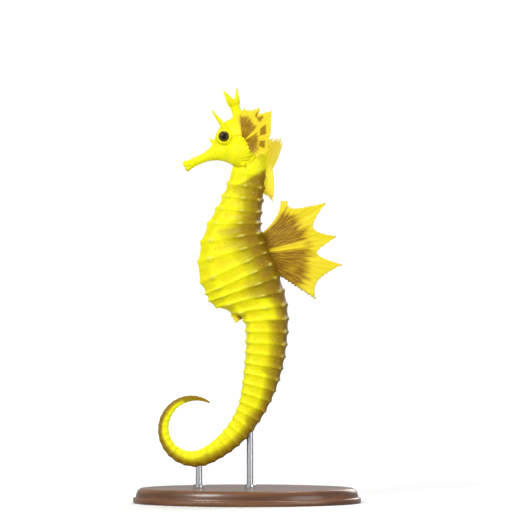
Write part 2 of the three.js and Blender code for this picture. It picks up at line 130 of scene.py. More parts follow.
# Half sizes at arc lengths along the backbone, and at places along the head's axis from the mouth.
TAIL_TIP = [(126, 2), (136, 1.6), (144, 1.15), (150, 0.65), (153, 0.3)]
back_depth = curve(
    (0, 5.6), (12, 6.5), (26, 6.6), (34, 7.1), (44, 6.9), (54, 7.2), (62, 6.9), (72, 6.4), (81, 5.6),
    (86, 4.9), (91, 4.2), (97, 3.7), (106, 3), (116, 2.5), *TAIL_TIP)
belly_depth = curve(
    (0, 4.6), (9, 5.4), (13, 6), (18, 7.5), (22, 9.3), (26, 11.8), (31, 14.9), (36, 17.4), (42, 17.9),
    (47, 17.6), (50, 16), (53, 12.6), (56, 9), (59, 7.6), (64, 7.2), (72, 6.7), (81, 5.8), (86, 5.1),
    (91, 4.6), (97, 4.1), (106, 3.4), (116, 2.7), *TAIL_TIP)
body_width = curve(
    (0, 4.6), (10, 5.4), (18, 6.2), (25, 7.4), (33, 8.6), (42, 9), (49, 8.1), (56, 6.8), (64, 6.3),
    (72, 5.8), (82, 4.9), (91, 3.9), (100, 3.3), (116, 2.5), (126, 2), (136, 1.5), (144, 1.1),
    (150, 0.65), (153, 0.3))
head_top = curve(
    (0, 1.3), (0.8, 1.75), (2.6, 1.45), (7, 1.4), (10, 1.9), (12, 3.1), (14, 5), (16, 6.7), (18, 7.7),
    (21, 8), (23.5, 7.2), (25.6, 4.9), (HEAD_LENGTH, 0.5))
head_bottom = curve(
    (0, 1.5), (0.8, 1.95), (2.6, 1.6), (7, 1.6), (10, 2.3), (12, 3.4), (14, 5.2), (16, 7.6), (18, 9.6),
    (21, 10.6), (24, 9.6), (25.8, 6.8), (HEAD_LENGTH, 1))
head_width = curve(
    (0, 1.35), (0.8, 1.6), (2.6, 1.3), (7, 1.35), (10, 1.9), (13, 2.9), (16, 3.9), (20, 4.9), (23, 5.1),
    (25.6, 3.9), (HEAD_LENGTH, 0.8))


def backbone(length):
    """The backbone's centre, its direction and the way to the animal's back, at arc lengths."""
    left = np.array(length, float)
    x, z, heading = (np.full_like(left, value) for value in BACKBONE_START)
    heading = np.radians(heading)
    for run, turn in BACKBONE_ARCS:
        step = np.minimum(left, run)
        radius = run / math.radians(turn)
        ahead = heading + step / radius
        x = x + radius * (np.sin(ahead) - np.sin(heading))
        z = z - radius * (np.cos(ahead) - np.cos(heading))
        heading = ahead
        left = left - step
    still = np.zeros_like(x)
    centre = np.stack([x, still, z], -1)
    way = np.stack([np.cos(heading), still, np.sin(heading)], -1)
    back = np.stack([-np.sin(heading), still, np.cos(heading)], -1)
    return centre, way, back


def ring_at(length):
    """The ring number at an arc length: whole numbers lie in the grooves between rings."""
    first, last = TAIL_RING_LENGTHS
    shrink = (first - last) / TAIL_RINGS
    trunk = TRUNK_RINGS * TRUNK_RING_LENGTH
    beyond = np.clip(length - FIRST_RING - trunk, 0, None)
    on_tail = (first - np.sqrt(np.clip(first**2 - 2 * shrink * beyond, 0, None))) / shrink
    return np.minimum(length - FIRST_RING, trunk) / TRUNK_RING_LENGTH + on_tail


def tail_share(ring):
    """How far the body has turned from trunk into tail at a ring."""
    return smoothstep(ring, 9, 13)


def squareness(tail):
    """The power that shapes the cross-section: 1 makes it round, and less gives it corners."""
    return mix(0.92, 0.72, tail)


def keel(angle, tail):
    """How much narrower the trunk is towards the edge of its belly."""
    return 1 - 0.3 * (1 - tail) * ((1 - np.cos(angle)) / 2) ** 2


def signed_power(value, power):
    return np.sign(value) * np.abs(value) ** power


def body_form(length, angle, share):
    """Points of the plain body, without rings, at arc lengths and directions round it. Direction 0 is
    the back, and share scales the cross-section, down to 0 at a pole."""
    centre, way, back = backbone(length)
    tail = tail_share(ring_at(length))
    depth = np.where(np.cos(angle) > 0, back_depth(length), belly_depth(length))
    up = signed_power(np.cos(angle), squareness(tail)) * depth * share
    side = signed_power(np.sin(angle), squareness(tail)) * body_width(length) * keel(angle, tail) * share
    return centre + back * up[:, None] + np.array([0, 1, 0]) * side[:, None]


HEAD_WAY = np.array([math.cos(HEAD_TILT), 0, math.sin(HEAD_TILT)])
HEAD_RISE = np.array([-math.sin(HEAD_TILT), 0, math.cos(HEAD_TILT)])


def in_head(along, up, side=0.0):
    """A point from its place in the head: along its axis from the mouth, up from it and to the side."""
    along, up, side = np.broadcast_arrays(along, up, side)
    point = np.array([MOUTH[0], 0, MOUTH[1]]) + HEAD_WAY * along[..., None] + HEAD_RISE * up[..., None]
    return point + np.array([0, 1, 0]) * side[..., None]


def head_form(along, angle, share):
    """Points of the plain head and snout, as body_form gives those of the body."""
    depth = np.where(np.cos(angle) > 0, head_top(along), head_bottom(along))
    forehead = 1 - 0.35 * smoothstep(along, 10, 16) * ((1 + np.cos(angle)) / 2) ** 1.5
    side = np.sin(angle) * head_width(along) * forehead * share
    return in_head(along, np.cos(angle) * depth * share, side)


# ------------ mesh tools


def closed_form(bm, rows, around, place, marks=None):
    """Adds a closed form: a grid moved to place(row, angle) and welded along its seam and its poles.
    marks holds functions of (row, angle) by name, whose three numbers each vertex keeps for the
    materials to read."""
    marks = marks or {}
    for name in marks:
        bm.verts.layers.float_vector.new(name)
    made = bmesh.ops.create_grid(bm, x_segments=around, y_segments=rows - 1, size=1)["verts"]
    flat = np.array([vert.co for vert in made])
    row = np.rint((flat[:, 1] + 1) / 2 * (rows - 1)).astype(int)
    angle = (flat[:, 0] + 1) * math.pi
    for vert, spot in zip(made, place(row, angle)):
        vert.co = spot
    for name, mark in marks.items():
        layer = bm.verts.layers.float_vector[name]
        for vert, value in zip(made, mark(row, angle)):
            vert[layer] = value
    bmesh.ops.remove_doubles(bm, verts=made, dist=1e-4)


def between(start, end, radius_start, radius_end):
    """The matrix and sizes of a cone that runs from one point to another."""
    start, end = Vector(start), Vector(end)
    way = end - start
    turn = way.to_track_quat("Z", "Y").to_matrix().to_4x4()
    return {"radius1": radius_start, "radius2": radius_end, "depth": way.length,
            "matrix": Matrix.Translation((start + end) / 2) @ turn}


def spike(bm, start, end, thick, thin):
    """Adds a cone from one point to another, with a round tip."""
    bmesh.ops.create_cone(bm, cap_ends=True, segments=20, **between(start, end, thick, thin))
    bmesh.ops.create_icosphere(bm, subdivisions=2, radius=thin, matrix=Matrix.Translation(Vector(end)))


def ball(bm, centre, sizes):
    """Adds a ball with three half sizes, which lies along the head's axis."""
    tilted = Matrix.Translation(Vector(centre)) @ Matrix.Rotation(-HEAD_TILT, 4, "Y")
    bmesh.ops.create_icosphere(bm, subdivisions=4, radius=1, matrix=tilted @ Matrix.Diagonal((*sizes, 1)))


def new_object(name, data):
    thing = bpy.data.objects.new(name, data)
    bpy.context.scene.collection.objects.link(thing)
    return thing


def finished_mesh(name, bm):
    mesh = bpy.data.meshes.new(name)
    bm.to_mesh(mesh)
    bm.free()
    return mesh


def in_metres(name, bm):
    """Turns a mesh in millimetres into an object in metres."""
    bmesh.ops.recalc_face_normals(bm, faces=bm.faces)
    bmesh.ops.scale(bm, vec=(MM, MM, MM), verts=bm.verts)
    return new_object(name, finished_mesh(name, bm))


def settle(thing, material, replaces):
    """Gives a piece its finish, its body and the solids that it stands for."""
    thing.data.materials.clear()
    thing.data.materials.append(material)
    thing.data.shade_smooth()
    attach(thing, "root")
    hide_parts(*replaces)


def piece(name, bm, material, replaces):
    """Turns a mesh in millimetres into a finished piece."""
    thing = in_metres(name, bm)
    settle(thing, material, replaces)
    return thing


def vertices_of(mesh):
    """The places of a mesh's vertices, one row each."""
    spots = np.empty(len(mesh.vertices) * 3, np.float32)
    mesh.vertices.foreach_get("co", spots)
    return spots.reshape(-1, 3).astype(float)


def keep_attribute(mesh, name, values):
    """Stores a number at each vertex for the materials to read."""
    layer = mesh.attributes.new(name, "FLOAT", "POINT")
    layer.data.foreach_set("value", values.astype(np.float32))


# ------------ the skin: its plain form

SIDES = {"left": -1, "right": 1}


def full_between_poles(rows):
    """The size of each row of a closed form: 0 at both poles and full everywhere else."""
    shares = np.ones(rows)
    shares[[0, -1]] = 0
    return shares


def add_trunk_and_tail(bm):
    lengths = np.linspace(0, BACKBONE_LENGTH, 420)
    shares = full_between_poles(len(lengths))
    closed_form(bm, len(lengths), 56, lambda row, angle: body_form(lengths[row], angle, shares[row]))


def add_skull(bm):
    stations = np.concatenate([[0], np.linspace(0, HEAD_LENGTH, 110), [HEAD_LENGTH]])
    shares = full_between_poles(len(stations))
    closed_form(bm, len(stations), 56, lambda row, angle: head_form(stations[row], angle, shares[row]))


# The spines and bony ridges on each side of the head. Each runs between two places, given along, up and
# to the side in the head, with its radius at either end.
FACE_SPINES = {
    "brow spine": ((18, 5.2, 2.4), (16.4, 13, 4.4), 1.15, 0.3),
    "cheek spine": ((18.4, -6.6, 3.8), (18, -9.1, 6.2), 0.85, 0.24),
    "ridge above the eye": ((17, 5.4, 2.4), (22.6, 5.6, 1.4), 0.9, 0.8),
    "ridge in front of the eye": ((14.6, 2.4, 2.2), (8.8, 0.1, 0.9), 0.85, 0.5),
    "ridge behind the eye": ((18.6, 2.4, 3.2), (24.4, 2.6, 2.6), 0.9, 0.8),
}
NOSE_SPINE = ((12.6, 2.2, 0), (11.6, 5.4, 0), 0.95, 0.25)


def add_spine(bm, spine, way=1):
    (along, up, side), (end_along, end_up, end_side), thick, thin = spine
    spike(bm, in_head(along, up, way * side), in_head(end_along, end_up, way * end_side), thick, thin)


def add_face(bm, way):
    """Gill cover, orbit, bony ridges and spines of one side of the head."""
    cover = GILL_COVER
    foot = in_head(cover["along"], cover["up"], way * cover["foot"])
    ball(bm, foot, (cover["long"], cover["side"] - cover["foot"], cover["tall"]))
    ball(bm, in_head(*EYE, way * 2.5), (2.9, 2.75, 2.75))
    for spine in FACE_SPINES.values():
        add_spine(bm, spine, way)


def on_coronet(along, up, side):
    """A point from its place on the crown's leaning column."""
    lean = CORONET["lean"]
    back = math.sin(lean) * up + math.cos(lean) * along
    rise = math.cos(lean) * up - math.sin(lean) * along
    return in_head(CORONET["along"] + back, CORONET["up"] + rise, side)


# The crown's points: the direction of each in degrees from the front, its height and how far it leans out.
CROWN_POINTS = [(0, 4, 0.6), (70, 2.7, 2.4), (-70, 2.7, 2.4), (150, 3.1, 1.7), (-150, 3.1, 1.7)]


def add_coronet(bm):
    """A fluted column with five points round its top."""
    height = CORONET["height"]
    rises = np.concatenate([[0], np.linspace(0, height, 30), [height]])
    shares = full_between_poles(len(rises))
    radius = curve((0, 2.7), (0.26 * height, 1.95), (0.55 * height, 1.6), (height, 2.3))

    def place(row, angle):
        reach = radius(rises[row]) * shares[row]
        fluted = reach * (1 + 0.07 * np.cos(5 * angle) * smoothstep(rises[row], 0.2 * height, height))
        sunk = 0.5 * (shares[row] == 0)
        return on_coronet(-np.cos(angle) * fluted, rises[row] - sunk, -0.8 * np.sin(angle) * fluted)

    closed_form(bm, len(rises), 40, place)
    for turn, length, out in CROWN_POINTS:
        ahead, aside = -math.cos(math.radians(turn)), math.sin(math.radians(turn))
        foot = on_coronet(ahead * 1.25, height - 1.6, aside * 1.1)
        tip = on_coronet(ahead * (1.3 + out), height + length - 0.15, aside * (1 + out))
        spike(bm, foot, tip, 1.1, 0.26)


def plain_skin():
    """Body, head and crown as one closed mesh without rings: the forms are fused, then relaxed."""
    bm = bmesh.new()
    add_trunk_and_tail(bm)
    add_skull(bm)
    for way in SIDES.values():
        add_face(bm, way)
    add_spine(bm, NOSE_SPINE)
    add_coronet(bm)
    skin = in_metres("skin", bm)
    fuse = skin.modifiers.new("fuse", "REMESH")
    fuse.mode = "VOXEL"
    fuse.voxel_size = VOXEL * MM
    relax = skin.modifiers.new("relax", "SMOOTH")
    relax.factor = 0.5
    relax.iterations = 4
    bpy.context.view_layer.update()
    fused = bpy.data.meshes.new_from_object(skin.evaluated_get(bpy.context.evaluated_depsgraph_get()))
    skin.modifiers.clear()
    skin.data = fused
    return skin


# ------------ the skin: rings, ridges and face


def body_coordinates(spots):
    """Arc length, direction round the body, and share of the way from belly to back, for points."""
    steps = np.linspace(0, BACKBONE_LENGTH, 1600)
    centre, way, back = backbone(steps)
    tree = KDTree(len(steps))
    for i, spot in enumerate(centre):
        tree.insert(spot, i)
    tree.balance()
    nearest = np.array([tree.find(spot)[1] for spot in spots * [1, 0, 1]])
    offset = spots - centre[nearest]
    length = np.clip(steps[nearest] + (offset * way[nearest]).sum(1), 0, BACKBONE_LENGTH)
    up = (offset * back[nearest]).sum(1)
    tail = tail_share(ring_at(length))
    rounding = 1 / squareness(tail)
    depth = np.where(up > 0, back_depth(length), belly_depth(length))
    high = signed_power(up / depth, rounding)
    wide = np.abs(spots[:, 1] / body_width(length)) ** rounding
    plain_angle = np.arctan2(wide, high)
    angle = np.arctan2(wide / keel(plain_angle, tail) ** rounding, high)
    rise = (up + belly_depth(length)) / (belly_depth(length) + back_depth(length))
    return length, angle, rise


def head_coordinates(spots):
    """Places along the head's axis, up from it and out to the side, for points."""
    offset = spots - np.array([MOUTH[0], 0, MOUTH[1]])
    return offset @ HEAD_WAY, offset @ HEAD_RISE, np.abs(spots[:, 1])


def ring_relief(length, angle):
    """Height of the bony rings, the long ridges and the rounded knobs where they cross."""
    ring = ring_at(length)
    trunk = 1 - tail_share(ring)
    turn = np.degrees(angle)
    trunk_end = FIRST_RING + TRUNK_RINGS * TRUNK_RING_LENGTH
    size = np.where(ring < TRUNK_RINGS, 1, body_width(length) / body_width(trunk_end))
    phase = ring - np.floor(ring)
    band = 0.55 * bell(phase - 0.5, 0.13) + 0.45 * bell(phase - 0.5, 0.26)
    breadth = mix(9, 7, trunk)
    corner = np.maximum(bell(turn - 45, breadth), bell(turn - 135, breadth))
    middle = np.maximum(bell(turn - 90, 7), 0.8 * bell(turn - 180, 13)) * trunk
    ridge = np.maximum(corner, middle)
    large = np.where(np.floor(ring) % 3 == 1, 1.25, 0.85)
    knob = bell(phase - 0.5, 0.17) * ridge * large
    soft = 1 - 0.35 * smoothstep(turn, 150, 175) * trunk
    striae = 0.035 * np.cos(np.radians(turn) * 34) * (1 - ridge) * (1 - band) * bell(phase - 0.5, 0.45)
    height = 0.62 * (band - 0.42) + 0.2 * ridge + 0.58 * knob + striae
    return smoothstep(ring, -1.5, 0.5) * size * soft * height


def face_relief(along, up, side):
    """Eye rims, gill covers with their fine ribs, snout ridges, the mouth slit and the nostrils."""
    cover_x = (along - GILL_COVER["along"]) / GILL_COVER["long"]
    cover_z = (up - GILL_COVER["up"]) / GILL_COVER["tall"]
    cover = np.hypot(cover_x, cover_z)
    outside = smoothstep(side, 1.5, 3)
    fan = np.arctan2(cover_z + 0.25, cover_x + 0.75)
    clear_of_root = smoothstep(np.hypot(cover_x + 0.75, cover_z), 0.25, 0.6)
    ribs = 0.13 * np.cos(30 * fan) * smoothstep(cover, 0.95, 0.75) * clear_of_root
    behind = smoothstep(cover_x - 0.5 * cover_z, -0.9, -0.1)
    groove = (-0.45 * bell(cover - 1.0, 0.06) + 0.2 * bell(cover - 0.88, 0.08)) * behind
    eye = np.hypot(along - EYE[0], up - EYE[1])
    socket = 1 - smoothstep(eye, 1.3, 1.8)
    rim = 0.34 * bell(eye - 2.15, 0.3) - 0.5 * socket - 0.14 * bell(eye - 2.8, 0.22)
    spokes = 0.07 * np.cos(16 * np.arctan2(up - EYE[1], along - EYE[0])) * bell(eye - 2.7, 0.55)
    slit = -0.4 * bell(up + 0.35 + 0.25 * (along - 0.4), 0.2) * (1 - smoothstep(along, 1.9, 2.5))
    lips = 0.12 * bell(along - 0.75, 0.5)
    on_snout = smoothstep(along, 2.5, 4) * (1 - smoothstep(along, 11, 13))
    snout = (0.1 * bell(up - 0.9 - 0.08 * along, 0.35) + 0.05 * np.cos(along * 4.2)) * on_snout
    nostril = -0.35 * bell(np.hypot(along - 12.9, up - 2.9), 0.32) * smoothstep(side, 0.8, 1.2)
    ripple = 0.07 * np.cos(5.2 * (along + 0.7 * up))
    crown = ripple * smoothstep(up, 4.5, 6) * (1 - smoothstep(up, 8, 9))
    facing = smoothstep(side, 2.2, 3.4)
    return outside * (ribs + groove) + facing * (rim + spokes) + slit + lips + snout + nostril + crown


# The brown saddles of the back: the arc length where each starts, then how high up the flank its edge
# lies at its start, at its narrowest and at its end (0 at the belly, 1 at the back), and last how far
# along the saddle is narrowest, as a share of its length.
SADDLES = [
    (2, 0.45, 0.42, 0.38, 0.65), (5.5, 0.0, 0.44, 0.34, 0.8), (25.7, 0.14, 0.58, 0.38, 0.65),
    (52.1, 0.7, 0.7, 0.4, 0.85), (60.6, 0.48, 0.54, 0.41, 0.8), (77.7, 0.57, 0.6, 0.35, 0.65),
    (94.9, 0.52, 0.48, 0.36, 0.65), (110.7, 0.2, 0.44, 0.42, 0.65), (120.5, 0.36, 0.45, 0.5, 0.65),
    (128.6, 0.6, 0.52, 0.46, 0.65), (136, 0.4, 0.4, 0.3, 0.65), (143.5, -0.4, -0.9, -1.3, 0.65),
]
# How far down the body a border slants from back to belly, and how high up the flank the brown is full.
saddle_slant = curve((0, 9.2), (12, 9.2), (26, 0.8), (51, -4), (98, -3.5), (118, 0), (153, 0))
full_brown = curve((0, 0.93), (90, 0.93), (98, 0.9), (112, 0.86), (125, 0.78), (153, 0.74))


def saddle_shade(length, rise):
    """How brown the skin is: a dark back whose colour runs down the flanks in soft saddles."""
    place = np.clip(length - saddle_slant(length) * (1 - rise), 0, BACKBONE_LENGTH)
    starts = np.array([saddle[0] for saddle in SADDLES] + [BACKBONE_LENGTH + 0.1])
    step = np.clip(np.searchsorted(starts, place, side="right") - 1, 0, len(SADDLES) - 1)
    share = np.clip((place - starts[step]) / (starts[step + 1] - starts[step]), 0, 1)
    first, narrow, last, waist = np.array(SADDLES)[step].T[1:]
    before = 1 - (1 - np.clip(share / waist, 0, 1)) ** 2
    after = 1 - (1 - np.clip((share - waist) / (1 - waist), 0, 1)) ** 2
    edge = np.where(share < waist, mix(first, narrow, before), mix(narrow, last, after))
    collar = smoothstep(length - 6.8 * (1 - rise), 4.6, 6.9)  # the nape stays yellow up to a slanting line
    return np.clip((rise - edge) / (full_brown(length) - edge), 0, 1) ** 0.88 * collar


def soft_saddles(length, rise):
    """The saddles with their borders softened over less than a millimetre."""
    return np.mean([saddle_shade(length + step, rise) for step in np.linspace(-0.4, 0.4, 7)], 0)


FLESH = ["head", "snout", "lower_jaw", "coronet", "gill_cover_left", "gill_cover_right", "neck", "chest",
         "belly", "tail_root", "tail_upper", "tail_middle", "tail_bend", "tail_curl", "tail_tip"]


def make_skin(material):
    """The plain skin with its relief raised, as one piece that stands for every solid of flesh."""
    skin = plain_skin()
    mesh = skin.data
    spots = vertices_of(mesh) / MM
    normals = np.empty(len(spots) * 3, np.float32)
    mesh.vertex_normals.foreach_get("vector", normals)
    length, angle, rise = body_coordinates(spots)
    relief = ring_relief(length, angle)
    along, up, side = head_coordinates(spots)
    on_head = smoothstep(up, -9.5, -7.5) * (1 - smoothstep(along, 27, 30))
    relief = relief * (1 - on_head) + face_relief(along, up, side) * on_head
    spots = spots + normals.reshape(-1, 3) * relief[:, None]
    mesh.vertices.foreach_set("co", (spots * MM).astype(np.float32).ravel())
    keep_attribute(mesh, "dark", soft_saddles(length, rise) * (1 - on_head))
    keep_attribute(mesh, "relief", relief)
    mesh.update()
    settle(skin, material, FLESH)


# ------------ finishes


def add(tree, kind, inputs=None, **settings):
    """Adds a shader node; an input given as another node's output is linked, any other value is set."""
    made = tree.nodes.new("ShaderNode" + kind)
    for name, value in settings.items():
        setattr(made, name, value)
    for name, value in (inputs or {}).items():
        if isinstance(value, bpy.types.NodeSocket):
            tree.links.new(value, made.inputs[name])
        else:
            made.inputs[name].default_value = value
    return made


def calculate(tree, operation, *values):
    """A Math node's output."""
    return add(tree, "Math", dict(enumerate(values)), operation=operation).outputs[0]


def plus(tree, value, more):
    return calculate(tree, "ADD", value, more)


def minus(tree, value, less):
    return calculate(tree, "SUBTRACT", value, less)


def times(tree, product, *factors):
    for factor in factors:
        product = calculate(tree, "MULTIPLY", product, factor)
    return product


def spread(tree, value, low, high, start=0.0, end=1.0):
    """Turns a value that runs from low to high into one that runs smoothly from start to end."""
    inputs = {"Value": value, "From Min": low, "From Max": high, "To Min": start, "To Max": end}
    return add(tree, "MapRange", inputs, interpolation_type="SMOOTHSTEP").outputs["Result"]


def noise(tree, place, scale, detail, output="Fac"):
    return add(tree, "TexNoise", {"Vector": place, "Scale": scale, "Detail": detail}).outputs[output]


def blend(tree, share, below, above, how="MIX"):
    """Mixes two colours; either may be another node's output."""
    inputs = {"Fac": share, "Color1": below, "Color2": above}
    return add(tree, "MixRGB", inputs, blend_type=how).outputs[0]


def ramp(tree, value, *stops):
    """A colour for each value, through (place, colour) stops."""
    made = add(tree, "ValToRGB", {"Fac": value})
    band = made.color_ramp.elements
    while len(band) < len(stops):
        band.new(0.5)
    for element, (place, shade) in zip(band, stops):
        element.position = place
        element.color = color(shade)
    return made.outputs["Color"]


def color(shade):
    """A colour in the renderer's linear scale, from its everyday values between 0 and 255."""
    parts = [value / 255 for value in shade]
    return (*[part / 12.92 if part < 0.039 else ((part + 0.055) / 1.055) ** 2.4 for part in parts], 1)


def attribute(tree, name, output="Fac"):
    return add(tree, "Attribute", attribute_name=name).outputs[output]


def components(tree, vector):
    """The x, y and z outputs of a node that parts a vector."""
    return add(tree, "SeparateXYZ", {"Vector": vector}).outputs[:]


def finish(name, **constants):
    """A new material and its tree, with the shader's constant values set."""
    material = bpy.data.materials.new(name)
    material.use_nodes = True
    shader = material.node_tree.nodes["Principled BSDF"]
    for key, value in constants.items():
        shader.inputs[key.replace("_", " ")].default_value = value
    return material, material.node_tree


def driven(material, **sources):
    """The material, with inputs of its shader linked to nodes' outputs."""
    tree = material.node_tree
    for key, source in sources.items():
        tree.links.new(source, tree.nodes["Principled BSDF"].inputs[key.replace("_", " ")])
    return material


def dimple(tree, height, depth_mm, below=None):
    """A Bump node's normal for a height between 0 and 1."""
    inputs = {"Height": height, "Distance": depth_mm * MM, "Strength": 1.0}
    if below:
        inputs["Normal"] = below
    return add(tree, "Bump", inputs).outputs["Normal"]


def per_mm(size):
    """The scale of a pattern on Object coordinates, for features of a size in millimetres."""
    return 1 / (size * MM)


# The skin's specks, dark kinds first: their spacing in millimetres, the share of places left bare, the
# colour, its strength, and a shift in metres that keeps the kinds apart.
SPECKS = [
    (1.0, 0.62, (124, 82, 10), 0.55, 0.0),
    (0.62, 0.7, (150, 104, 12), 0.4, 0.013),
    (0.9, 0.66, (255, 252, 190), 0.45, 0.029),
]


def skin_finish():
    """Lemon yellow that turns to olive brown along the back, with clouds, specks and pores, painted shade
    in the grooves between the rings, and crests paled partly by a painted highlight.
    """
    material, tree = finish(
        "lemon_skin", Roughness=0.44, Specular_IOR_Level=0.2, Subsurface_Weight=0.12,
        Subsurface_Radius=(0.9, 0.6, 0.12), Subsurface_Scale=MM, Coat_Weight=0.04, Coat_Roughness=0.25)
    place = add(tree, "TexCoord").outputs["Object"]
    dark, relief = attribute(tree, "dark"), attribute(tree, "relief")
    cloud = noise(tree, place, per_mm(5), 5.0)
    grain = noise(tree, place, per_mm(0.7), 4.0)

    ragged = times(tree, minus(tree, cloud, 0.5), 0.3)
    shade = plus(tree, dark, times(tree, ragged, spread(tree, dark, 0, 0.3)))
    body = ramp(tree, shade, (0, (254, 250, 4)), (0.2, (230, 222, 2)), (0.45, (198, 182, 4)),
                (0.7, (170, 144, 4)), (1, (149, 116, 2)))
    warm = spread(tree, cloud, 0.48, 0.72, 0, 0.24)
    body = blend(tree, warm, body, color((252, 214, 20)), "MULTIPLY")
    # Painted shade: the grooves between the rings are darkened and warmed towards orange, as shade would
    # darken a hollow.
    groove = spread(tree, relief, 0.0, -0.34, 0, 0.3)
    body = blend(tree, groove, body, color((222, 176, 20)), "MULTIPLY")
    # The crests of the ridges and the knobs are paled: partly their own paler colour, partly a painted
    # highlight.
    pale_crest_and_highlight = spread(tree, relief, 0.42, 1.0, 0, 0.45)
    body = blend(tree, pale_crest_and_highlight, body, color((255, 250, 120)))

    # Small dark specks with clear skin between them, thickest along the back, and fewer pale ones.
    wobble = noise(tree, place, per_mm(0.3), 3.0, "Color")
    frayed = blend(tree, 0.0004, place, wobble, "ADD")
    for size, bare, shade_of_it, strength, shift in SPECKS:
        moved = add(tree, "VectorMath", {0: frayed, 1: (shift, shift, 0)}, operation="ADD").outputs[0]
        cells = add(tree, "TexVoronoi", {"Vector": moved, "Scale": per_mm(size)})
        chance = add(tree, "SeparateColor", {"Color": cells.outputs["Color"]})
        reach = plus(tree, times(tree, chance.outputs["Green"], 0.14), 0.06)
        inside = minus(tree, reach, cells.outputs["Distance"])
        dot = spread(tree, inside, -0.03, 0.05, 0, strength)
        likely = plus(tree, chance.outputs["Red"], times(tree, shade, 0.25))
        shown = times(tree, dot, spread(tree, likely, bare, bare + 0.06))
        body = blend(tree, shown, body, color(shade_of_it))

    pores = add(tree, "TexVoronoi", {"Vector": place, "Scale": per_mm(0.34)}).outputs["Distance"]
    scaly = dimple(tree, pores, 0.05)
    return driven(material, Base_Color=body, Normal=dimple(tree, grain, 0.17, scaly))


def fin_finish():
    """Yellow membrane, with brown running out along the rays from the root on either side of a parting.
    It reads where a point lies on its fan: how far out, how far across, on a ray or between two, and how
    far from the fan's centre as a share of the longest reach."""
    material, tree = finish(
        "fin_membrane", Roughness=0.44, Subsurface_Weight=0.25, Subsurface_Radius=(1.0, 0.7, 0.2),
        Subsurface_Scale=MM, Specular_IOR_Level=0.28)
    out, across, ray = components(tree, attribute(tree, "fanway", "Vector"))
    radius, spotted, parting = components(tree, attribute(tree, "markings", "Vector"))

    def streaks(along, beside, scale):
        stretched = {"X": times(tree, out, along), "Y": times(tree, across, beside)}
        return noise(tree, add(tree, "CombineXYZ", stretched).outputs["Vector"], scale, 4.0)

    coarse, fine = streaks(1.6, 15.0, 1.5), streaks(4.0, 60.0, 1.3)
    limit = plus(tree, spread(tree, across, 0, 0.3, 0.34, 0.42), times(tree, coarse, 0.34))
    limit = minus(tree, limit, times(tree, spotted, spread(tree, across, 0.05, 0.55, 0.0, 0.2)))
    within = spread(tree, minus(tree, limit, radius), -0.05, 0.1)
    edge = spread(tree, across, 0.02, 0.07)
    from_parting = calculate(tree, "ABSOLUTE", minus(tree, across, parting))
    beside_parting = calculate(tree, "MAXIMUM", spread(tree, from_parting, 0.015, 0.07),
                               spread(tree, radius, 0.45, 0.62, 0, 0.8))
    brown = times(tree, within, edge, beside_parting, spread(tree, fine, 0.3, 0.6, 0.55, 1.0))

    # The pectoral fins also have a row of three patches near the margin, a fifth of the fan apart.
    frayed = times(tree, minus(tree, streaks(7.0, 30.0, 1.0), 0.5), 0.06)
    middle_of_row = spread(tree, across, 0.25, 0.7, 0.7, 0.47)
    off_row = calculate(tree, "ABSOLUTE", minus(tree, plus(tree, radius, frayed), middle_of_row))
    beat = calculate(tree, "MULTIPLY_ADD", plus(tree, across, frayed), 31.4, -10.7)
    beat = spread(tree, calculate(tree, "COSINE", beat), -0.75, 0.25)
    ends = times(tree, spread(tree, across, 0.22, 0.28), spread(tree, across, 0.86, 0.8))
    clear_margin = spread(tree, out, 0.93, 0.8)
    patches = times(tree, beat, spread(tree, off_row, 0.13, 0.06), clear_margin, ends, spotted, 0.85)
    brown = calculate(tree, "MAXIMUM", brown, patches)

    web = blend(tree, spread(tree, ray, 0.3, 0.95, 0, 0.5), color((255, 230, 40)), color((248, 208, 34)))
    web = blend(tree, spread(tree, fine, 0.55, 0.75, 0, 0.3), web, color((255, 240, 86)))
    web = blend(tree, brown, web, color((146, 102, 8)))
    return driven(material, Base_Color=web, Normal=dimple(tree, fine, 0.05))


def mane_finish():
    """Yellow that pales towards the fronds' tips, with a faint painted glow of their own. The glow stands
    for light from behind shining through fronds this thin, and it brightens them where the pectoral fin
    shades them."""
    material, tree = finish(
        "mane_frond", Roughness=0.5, Specular_IOR_Level=0.4, Emission_Strength=0.13)
    place = add(tree, "TexCoord").outputs["Object"]
    away = attribute(tree, "frondway")
    grain = noise(tree, place, per_mm(0.8), 4.0)
    warm = ramp(tree, away, (0, (255, 230, 36)), (0.3, (255, 237, 50)), (1, (255, 241, 86)))
    body = blend(tree, spread(tree, grain, 0.45, 0.7, 0, 0.2), warm, color((255, 224, 60)))
    return driven(material, Base_Color=body, Emission_Color=body, Normal=dimple(tree, grain, 0.08))


def eye_finish():
    """A black eye with a wide pupil, a thin gold ring and a bronze iris, under a clear wet coat."""
    material, tree = finish(
        "wet_eye", Roughness=0.2, Specular_IOR_Level=0.1,
        Coat_Weight=0.7, Coat_IOR=1.36, Coat_Roughness=0.02)
    low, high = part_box("eye_left")
    middle = (low + high) / 2
    centred = add(tree, "Mapping", {"Vector": add(tree, "TexCoord").outputs["Object"],
                                    "Location": (-middle.x, 0, -middle.z)}).outputs["Vector"]
    x, y, z = components(tree, centred)
    flat = add(tree, "CombineXYZ", {"X": x, "Y": z}).outputs["Vector"]
    off = add(tree, "VectorMath", {0: flat}, operation="LENGTH").outputs["Value"]
    off = calculate(tree, "DIVIDE", off, (high.x - low.x) / 2)
    flecks = noise(tree, centred, per_mm(0.35), 4.0)
    iris = ramp(tree, flecks, (0.3, (28, 16, 5)), (0.6, (96, 62, 14)), (0.8, (150, 108, 26)))
    ring = spread(tree, calculate(tree, "ABSOLUTE", minus(tree, off, 0.615)), 0.035, 0.012)
    pupil, rim = (0.003, 0.002, 0.002, 1), (0.006, 0.004, 0.002, 1)
    shade = blend(tree, spread(tree, off, 0.6, 0.64), pupil, iris)
    shade = blend(tree, spread(tree, off, 0.72, 0.86), shade, rim)
    shade = blend(tree, times(tree, ring, 0.8), shade, color((190, 140, 40)))
    return driven(material, Base_Color=shade)


